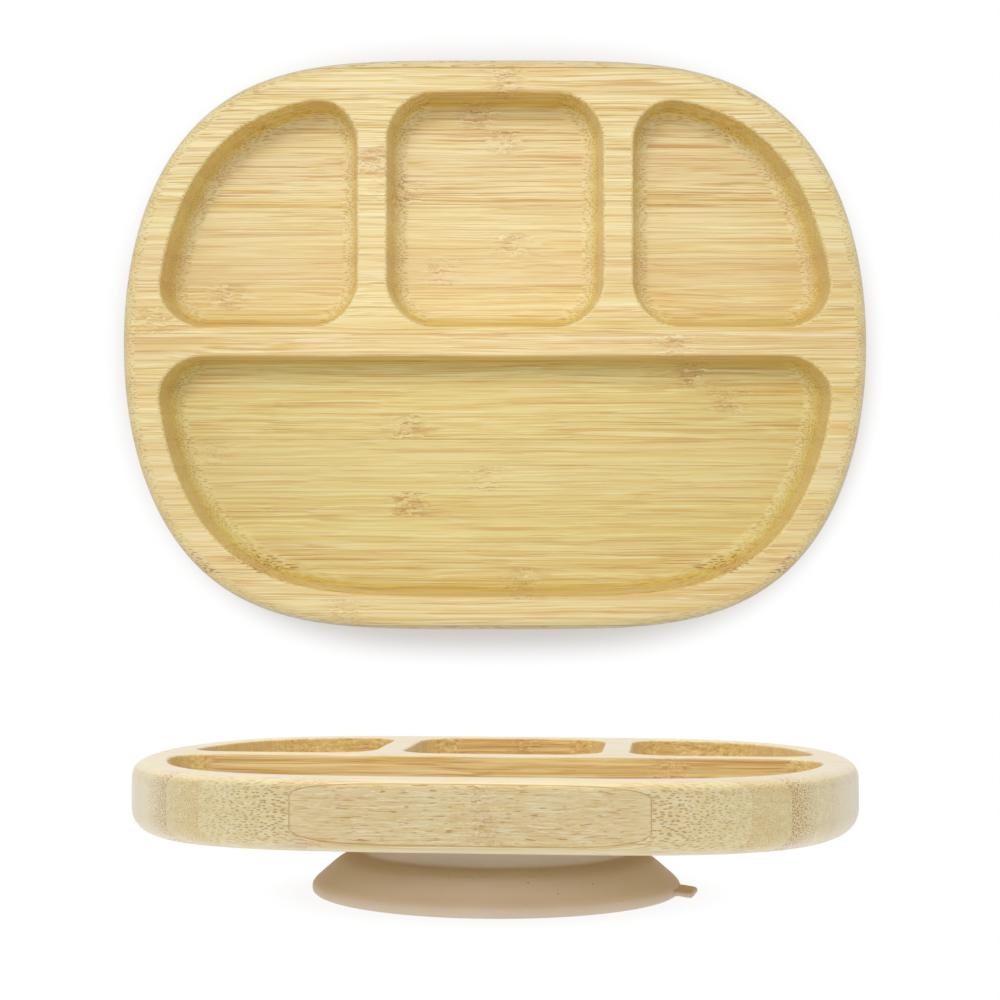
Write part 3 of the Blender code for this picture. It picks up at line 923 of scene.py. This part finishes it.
# ------------------------------------------------------------------ suction base, in mm
COLLAR_LOW, COLLAR_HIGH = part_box("suction_collar")
COLLAR_R = COLLAR_HIGH[0] / MM
COLLAR_BOTTOM = 12.0
CEILING = COLLAR_LOW[2] / MM  # height of the hollow under the cup
TONGUE_TOP = COLLAR_HIGH[2] / MM  # top of the ring that stands up into the plate's groove
TONGUE_IN, TONGUE_OUT = 33.4, 37.6
LIP_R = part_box("suction_lip")[1][0] / MM
SEAT = BOTTOM_Z / MM - 0.3  # top of the collar, just under the plate
HUB_R, HUB_TOP = 32.6, CEILING + 2.8  # the disc inside the collar
BASE_SEGMENTS = 224
TUBE_R = 1.5  # rounding of the lip's lower edge


def arc_corner(before, corner, after, radius, count=6):
    """Points rounding one corner of a profile."""
    before, corner, after = (np.array(point, float) for point in (before, corner, after))
    back, ahead = before - corner, after - corner
    back_length, ahead_length = np.linalg.norm(back), np.linalg.norm(ahead)
    back, ahead = back / back_length, ahead / ahead_length
    angle = math.acos(max(-1.0, min(1.0, float(back @ ahead))))
    reach = min(radius / math.tan(angle / 2), 0.49 * back_length, 0.49 * ahead_length)
    radius = reach * math.tan(angle / 2)
    middle = (back + ahead) / np.linalg.norm(back + ahead)
    centre = corner + middle * (radius / math.sin(angle / 2))
    start, end = corner + back * reach, corner + ahead * reach
    first = math.atan2(*(start - centre)[::-1])
    turn = math.atan2(*(end - centre)[::-1]) - first
    turn = (turn + math.pi) % (2 * math.pi) - math.pi
    angles = [first + turn * k / count for k in range(count + 1)]
    return [(centre[0] + radius * math.cos(a), centre[1] + radius * math.sin(a)) for a in angles]


def rounded_profile(corners):
    """The profile through corners (r, z, rounding); the ones with rounding 0 stay sharp."""
    out = []
    for k, (r, z, rounding) in enumerate(corners):
        if rounding == 0:
            out.append((r, z))
        else:
            out += arc_corner(corners[k - 1][:2], (r, z), corners[k + 1][:2], rounding)
    return out


def densify(profile, step):
    out = [profile[0]]
    for start, end in zip(profile, profile[1:]):
        count = max(1, int(math.ceil(math.dist(start, end) / step)))
        out += [
            tuple(a + (b - a) * k / count for a, b in zip(start, end))
            for k in range(1, count + 1)
        ]
    return out


def bezier(start, control, end, count):
    return [
        tuple(
            (1 - t) ** 2 * a + 2 * t * (1 - t) * b + t * t * c
            for a, b, c in zip(start, control, end)
        )
        for t in (k / count for k in range(count + 1))
    ]


def turned(name, profile, segments):
    """A closed solid of revolution.

    The profile runs counterclockwise in r-z, from the axis back to the axis.
    """
    bm = bmesh.new()
    turns = [2 * math.pi * k / segments for k in range(segments)]
    loops = []
    for r, z in profile:
        if r < 1e-9:
            loops.append([bm.verts.new((0.0, 0.0, z))])
        else:
            loops.append([bm.verts.new((r * math.cos(a), r * math.sin(a), z)) for a in turns])
    for first, second in zip(loops, loops[1:]):
        for i in range(segments):
            j = (i + 1) % segments
            if len(first) == 1:
                bm.faces.new((first[0], second[j], second[i]))
            elif len(second) == 1:
                bm.faces.new((first[i], first[j], second[0]))
            else:
                bm.faces.new((first[i], first[j], second[j], second[i]))
    mesh = bpy.data.meshes.new(name)
    bm.to_mesh(mesh)
    bm.free()
    mesh.shade_smooth()
    return add_object(name, mesh)


def base_profile():
    """(r, z) from the hollow's ceiling, down inside the skirt, round the lip, and up to the hub."""
    # nearly straight up the outside of the skirt, with a shoulder where it meets the collar
    shoulder = (49.2, 9.35)
    outer = bezier((56.3, 3.2), (52.6, 6.6), shoulder, 14)[:-1]
    outer += bezier(shoulder, (46.4, 11.6), (COLLAR_R, COLLAR_BOTTOM), 14)
    lip_angles = [math.radians(d) for d in (-75, -60, -45, -30, -15, 0)]
    profile = [
        (0.0, CEILING),
        *bezier((38.5, CEILING), (47.6, 7.4), (53.0, 0.3), 18),
        # the lip's foot
        *[(53.4, 0.07), (53.9, 0.0), (54.9, 0.0)],
        *[
            (LIP_R - TUBE_R + TUBE_R * math.cos(a), TUBE_R + TUBE_R * math.sin(a))
            for a in lip_angles
        ],
        # from the lip's widest ring up to the skirt
        *[(LIP_R, 2.1), (LIP_R - 0.07, 2.55), (LIP_R - 0.27, 3.0), (LIP_R - 0.6, 3.45)],
        *[point for point in outer if 41.8 < point[0] < 55.3],
        # the small hollow corner at the collar's foot
        (COLLAR_R + 0.52, COLLAR_BOTTOM + 0.02),
        (COLLAR_R + 0.24, COLLAR_BOTTOM + 0.18),
        (COLLAR_R + 0.07, COLLAR_BOTTOM + 0.46),
        (COLLAR_R, COLLAR_BOTTOM + 0.85),
    ]
    profile += rounded_profile(
        [
            (COLLAR_R, COLLAR_BOTTOM + 1.2, 0),
            (COLLAR_R, SEAT, 0.7),
            (TONGUE_OUT, SEAT, 0.2),
            (TONGUE_OUT, TONGUE_TOP, 0.5),
            (TONGUE_IN, TONGUE_TOP, 0.5),
            (TONGUE_IN, SEAT, 0.2),
            (HUB_R, SEAT, 0.3),
            (HUB_R, HUB_TOP, 1.5),
            (0.0, HUB_TOP, 0),
        ]
    )
    return densify(profile, 1.6)


def build_base(silicone):
    profile = [(r * MM, z * MM) for r, z in base_profile()]
    base = turned("suction_base", profile, BASE_SEGMENTS)
    base.data.materials.append(silicone)
    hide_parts("suction_collar", "suction_skirt", "suction_lip")
    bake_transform(base, "cup", "lip", start=(0, 0, COLLAR_BOTTOM * MM), end=(0, 0, 3.0 * MM))
    # the skirt bends along its radius, so its two faces stay the same distance apart
    bend = base.data.attributes["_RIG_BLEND"]
    for vertex, item in zip(base.data.vertices, bend.data):
        radius = math.hypot(vertex.co.x, vertex.co.y) / MM
        share = max(0.0, min(1.0, (radius - COLLAR_R) / (55.0 - COLLAR_R)))
        item.value = share * share * (3 - 2 * share)
    return base


# ------------------------------------------------------------------ pull tab, in mm
TAB_TURN = math.radians(-8.0)  # from +X, about Z
TAB_ROOT, TAB_TIP = 54.4, 61.6  # distances from the axis
TAB_HALF_WIDTH, TAB_HALF_THICK = 7.0, 0.8
TAB_Z = 1.75
TAB_CORNER_R, TAB_EDGE_R = 2.0, 0.75  # the tip's roundings, in plan and from the side
TAB_SECTION_R = 0.7
DROOP_FROM, DROOP = 57.5, math.radians(8)
# the sections' places, as shares of the way from root to tip
TAB_STATIONS = (
    0.0, 0.08, 0.16, 0.24, 0.32, 0.40, 0.48, 0.56, 0.64,
    0.72, 0.79, 0.85, 0.90, 0.94, 0.97, 0.99, 1.0,
)  # fmt: skip


def along_tab(r, y, z):
    """A point of the tab: r out from the axis, y to the side, z up."""
    cos, sin = math.cos(TAB_TURN), math.sin(TAB_TURN)
    return (r * cos - y * sin) * MM, (r * sin + y * cos) * MM, z * MM


def lost_to_rounding(left, radius):
    """How far a rounded end has drawn in at the distance left from its tip."""
    drawn = radius - min(left, radius)
    return radius - math.sqrt(max(0.0, radius**2 - drawn**2))


def tab_section(share):
    """The rounded section at one station, as points (r, y, z)."""
    r = TAB_ROOT + (TAB_TIP - TAB_ROOT) * share
    left = TAB_TIP - r
    width = TAB_HALF_WIDTH - lost_to_rounding(left, TAB_CORNER_R)
    thick = TAB_HALF_THICK - lost_to_rounding(left, TAB_EDGE_R)
    # it thickens and spreads a little where it leaves the lip
    flare = max(0.0, 1 - (r - TAB_ROOT) / 3.2) ** 2
    width = max(width + 1.1 * flare, 0.6)
    thick = max(thick + 0.35 * flare, 0.06)
    centre_z = TAB_Z - math.tan(DROOP) * max(0.0, r - DROOP_FROM)
    radius = min(thick, TAB_SECTION_R) * 0.98
    y, z = width - radius, thick - radius
    points = []
    for corner_y, corner_z, first in ((y, z, 0), (-y, z, 90), (-y, -z, 180), (y, -z, 270)):
        for k in range(5):
            angle = math.radians(first + 90 * k / 4)
            point_z = centre_z + (corner_z + radius * math.sin(angle))
            points.append((r, corner_y + radius * math.cos(angle), max(point_z, 0.03)))
    return points


def build_tab(silicone):
    """A flat tongue growing out of the lip, with a rounded tip and a slight droop."""
    bm = bmesh.new()
    loops = [
        [bm.verts.new(along_tab(*point)) for point in tab_section(share)]
        for share in TAB_STATIONS
    ]
    skin_all(bm, loops)
    bm.faces.new(loops[0][::-1])
    bm.faces.new(loops[-1])
    bmesh.ops.recalc_face_normals(bm, faces=bm.faces)
    mesh = bpy.data.meshes.new("suction_pull_tab")
    bm.to_mesh(mesh)
    bm.free()
    mesh.shade_smooth()
    mesh.set_sharp_from_angle(angle=math.radians(60))
    tab = add_object("suction_pull_tab", mesh)
    tab.data.materials.append(silicone)
    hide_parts("pull_tab")
    start, end = along_tab(55.6, 0, TAB_Z), along_tab(58.8, 0, TAB_Z)
    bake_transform(tab, "lip", "tab", start=start, end=end)
    return tab


silicone = silicone_material()
pieces.append(build_base(silicone))
pieces.append(build_tab(silicone))

# ------------------------------------------------------------------ camera
SENSOR, LENS = 36.0, 69.4332  # mm
TURN = math.radians(5.08)  # the camera stands a little round to the right of the front
PITCH = math.radians(2.959)  # upwards from level
ROLL = math.radians(0.149)
CAMERA_AT = Vector((0.0008, -0.6006, TOP_Z + 48.08 * MM))  # before the turn


def build_camera():
    data = bpy.data.cameras.new("camera")
    data.sensor_width = SENSOR
    data.lens = LENS
    data.clip_start = 0.05
    data.clip_end = 80.0
    camera = add_object("camera", data)
    turn = Matrix.Rotation(TURN, 3, "Z")
    pitch = Matrix.Rotation(math.radians(90) + PITCH, 3, "X")
    camera.location = turn @ CAMERA_AT
    camera.rotation_mode = "QUATERNION"
    camera.rotation_quaternion = (turn @ pitch @ Matrix.Rotation(ROLL, 3, "Z")).to_quaternion()
    bpy.context.scene.camera = camera
    return camera


camera = build_camera()

# ------------------------------------------------------------------ the view from above
SCALE = 60.0
ABOVE_LENS = 55.008  # mm; the view from above is wider than the camera's own
EYE_HEIGHT = 448.9264 * MM  # of its eye, over the plate's top
EYE_Y = -22.24066 * MM  # the eye is straight above this y, at x = 0
# where on the camera's sensor that point falls, right of and above the centre, in mm
EYE_RIGHT, EYE_UP = -0.18, 2.88


def above_view():
    """Takes the model to its enlarged place in front of the camera."""
    widen = ABOVE_LENS / LENS
    right, up = EYE_RIGHT / LENS, EYE_UP / LENS
    reach = EYE_HEIGHT + TOP_Z
    # rows are the camera's x, y and z
    to_camera = Matrix(
        (
            (widen, 0, -right, right * reach),
            (0, widen, -up, -EYE_Y * widen + up * reach),
            (0, 0, 1, -reach),
            (0, 0, 0, 1),
        )
    )
    camera_matrix = Matrix.LocRotScale(camera.location, camera.rotation_quaternion, None)
    return camera_matrix @ Matrix.Scale(SCALE, 4) @ to_camera


above_matrix = above_view()
above = bpy.data.collections.new("seen_from_above")
for piece in pieces:
    above.objects.link(piece)
# the matrix is sheared, which only a parent's inverse can hold
holder = add_object("view_from_above_holder", None)
above_copy = add_object("view_from_above", None)
above_copy.instance_type = "COLLECTION"
above_copy.instance_collection = above
above_copy.parent = holder
above_copy.matrix_parent_inverse = above_matrix


# ------------------------------------------------------------------ floor and backdrop
def paper_material(name, half_sizes, powers, clear, gone, glow_share):
    """Pale paper that glows in part, so that shadows stay faint, and ends in pure white.

    The fade follows |x/half|^power + |y/half|^power, from clear to gone, in the coordinates
    kept in the sheet's own 'place'.
    """
    material, nodes = new_material(name)
    here = nodes.add("ShaderNodeAttribute", attribute_name="place")
    x, y, _ = nodes.split(here.outputs["Vector"])
    size = (abs(x) / half_sizes[0]) ** powers[0] + (abs(y) / half_sizes[1]) ** powers[1]
    fade = size.smooth(clear, gone, low=glow_share)
    diffuse = nodes.add("ShaderNodeBsdfDiffuse", {"Color": (0.9, 0.9, 0.9, 1)})
    glow = nodes.add("ShaderNodeEmission", {"Color": (1, 1, 1, 1), "Strength": 1.0})
    paper = nodes.add("ShaderNodeMixShader", {0: fade, 1: diffuse.outputs[0], 2: glow.outputs[0]})
    # from below it isn't there, so that the underside can be looked at
    clear_back = nodes.add("ShaderNodeBsdfTransparent")
    backfacing = nodes.add("ShaderNodeNewGeometry").outputs["Backfacing"]
    sided = nodes.add(
        "ShaderNodeMixShader", {0: backfacing, 1: paper.outputs[0], 2: clear_back.outputs[0]}
    )
    nodes.add("ShaderNodeOutputMaterial", {"Surface": sided.outputs[0]})
    return material


def sheet(name, low, high, z, matrix, material):
    """A rectangle from corner low to corner high, placed by the matrix."""
    corners = [(low[0], low[1], z), (high[0], low[1], z), (high[0], high[1], z), (low[0], high[1], z)]
    mesh = bpy.data.meshes.new(name)
    mesh.from_pydata([tuple(matrix @ Vector(c)) for c in corners], [], [(0, 1, 2, 3)])
    place = mesh.attributes.new("place", "FLOAT_VECTOR", "POINT")
    for item, corner in zip(place.data, corners):
        item.vector = corner
    mesh.materials.append(material)
    add_object(name, mesh)


floor_paper = paper_material(
    "floor_paper", half_sizes=(1, 1), powers=(2, 2), clear=0.0024, gone=0.0056, glow_share=0.88
)
sheet("floor", (-4, -4), (4, 0.9), -0.0002, Matrix.Identity(4), floor_paper)
backdrop_paper = paper_material(
    "backdrop_paper",
    half_sizes=(HALF_X, HALF_Y),
    powers=(3, 2.1),
    clear=1.12,
    gone=1.50,
    glow_share=0.30,
)
sheet("backdrop", (-0.24, -0.16), (0.24, 0.16), 0.0, above_matrix, backdrop_paper)


# ------------------------------------------------------------------ light
def build_world():
    """White to the camera, and a softer white as light."""
    world = bpy.data.worlds.new("studio")
    bpy.context.scene.world = world
    world.use_nodes = True
    world.node_tree.nodes.clear()
    nodes = Nodes(world.node_tree)
    soft, seen = (
        nodes.add("ShaderNodeBackground", {"Color": (1, 1, 1, 1), "Strength": strength})
        for strength in (0.60, 1.0)
    )
    is_camera = nodes.add("ShaderNodeLightPath").outputs["Is Camera Ray"]
    mixed = nodes.add("ShaderNodeMixShader", {0: is_camera, 1: soft.outputs[0], 2: seen.outputs[0]})
    nodes.add("ShaderNodeOutputWorld", {"Surface": mixed.outputs[0]})


def aim_light(data, location, target):
    lamp = add_object(data.name, data)
    lamp.location = location
    lamp.rotation_mode = "QUATERNION"
    lamp.rotation_quaternion = (target - location).to_track_quat("-Z", "Y")


def area(name, location, target, size, power):
    data = bpy.data.lights.new(name, "AREA")
    data.shape = "DISK"
    data.size = size
    data.energy = power
    aim_light(data, Vector(location), Vector(target))


def above_spot():
    """The view from above has its own lamp, whose cone clears the object on the floor."""
    data = bpy.data.lights.new("above_key", "SPOT")
    data.energy = 12.6 * SCALE**2
    data.spot_size = math.radians(30)
    data.spot_blend = 0.3
    data.shadow_soft_size = 0.20 * SCALE
    location, target = Vector((-0.17, 0.34, 0.80)), Vector((0, 0, 0.03))
    aim_light(data, above_matrix @ location, above_matrix @ target)


build_world()
area("overhead", location=(-0.15, 0.10, 1.1), target=(0, 0, 0.03), size=0.9, power=5.0)
area("front", location=(-0.5, -0.9, 0.55), target=(0, 0, 0.02), size=0.6, power=0.3)
above_spot()

bpy.context.scene.view_settings.view_transform = "Standard"
bpy.context.scene.view_settings.look = "None"
bpy.context.view_layer.update()
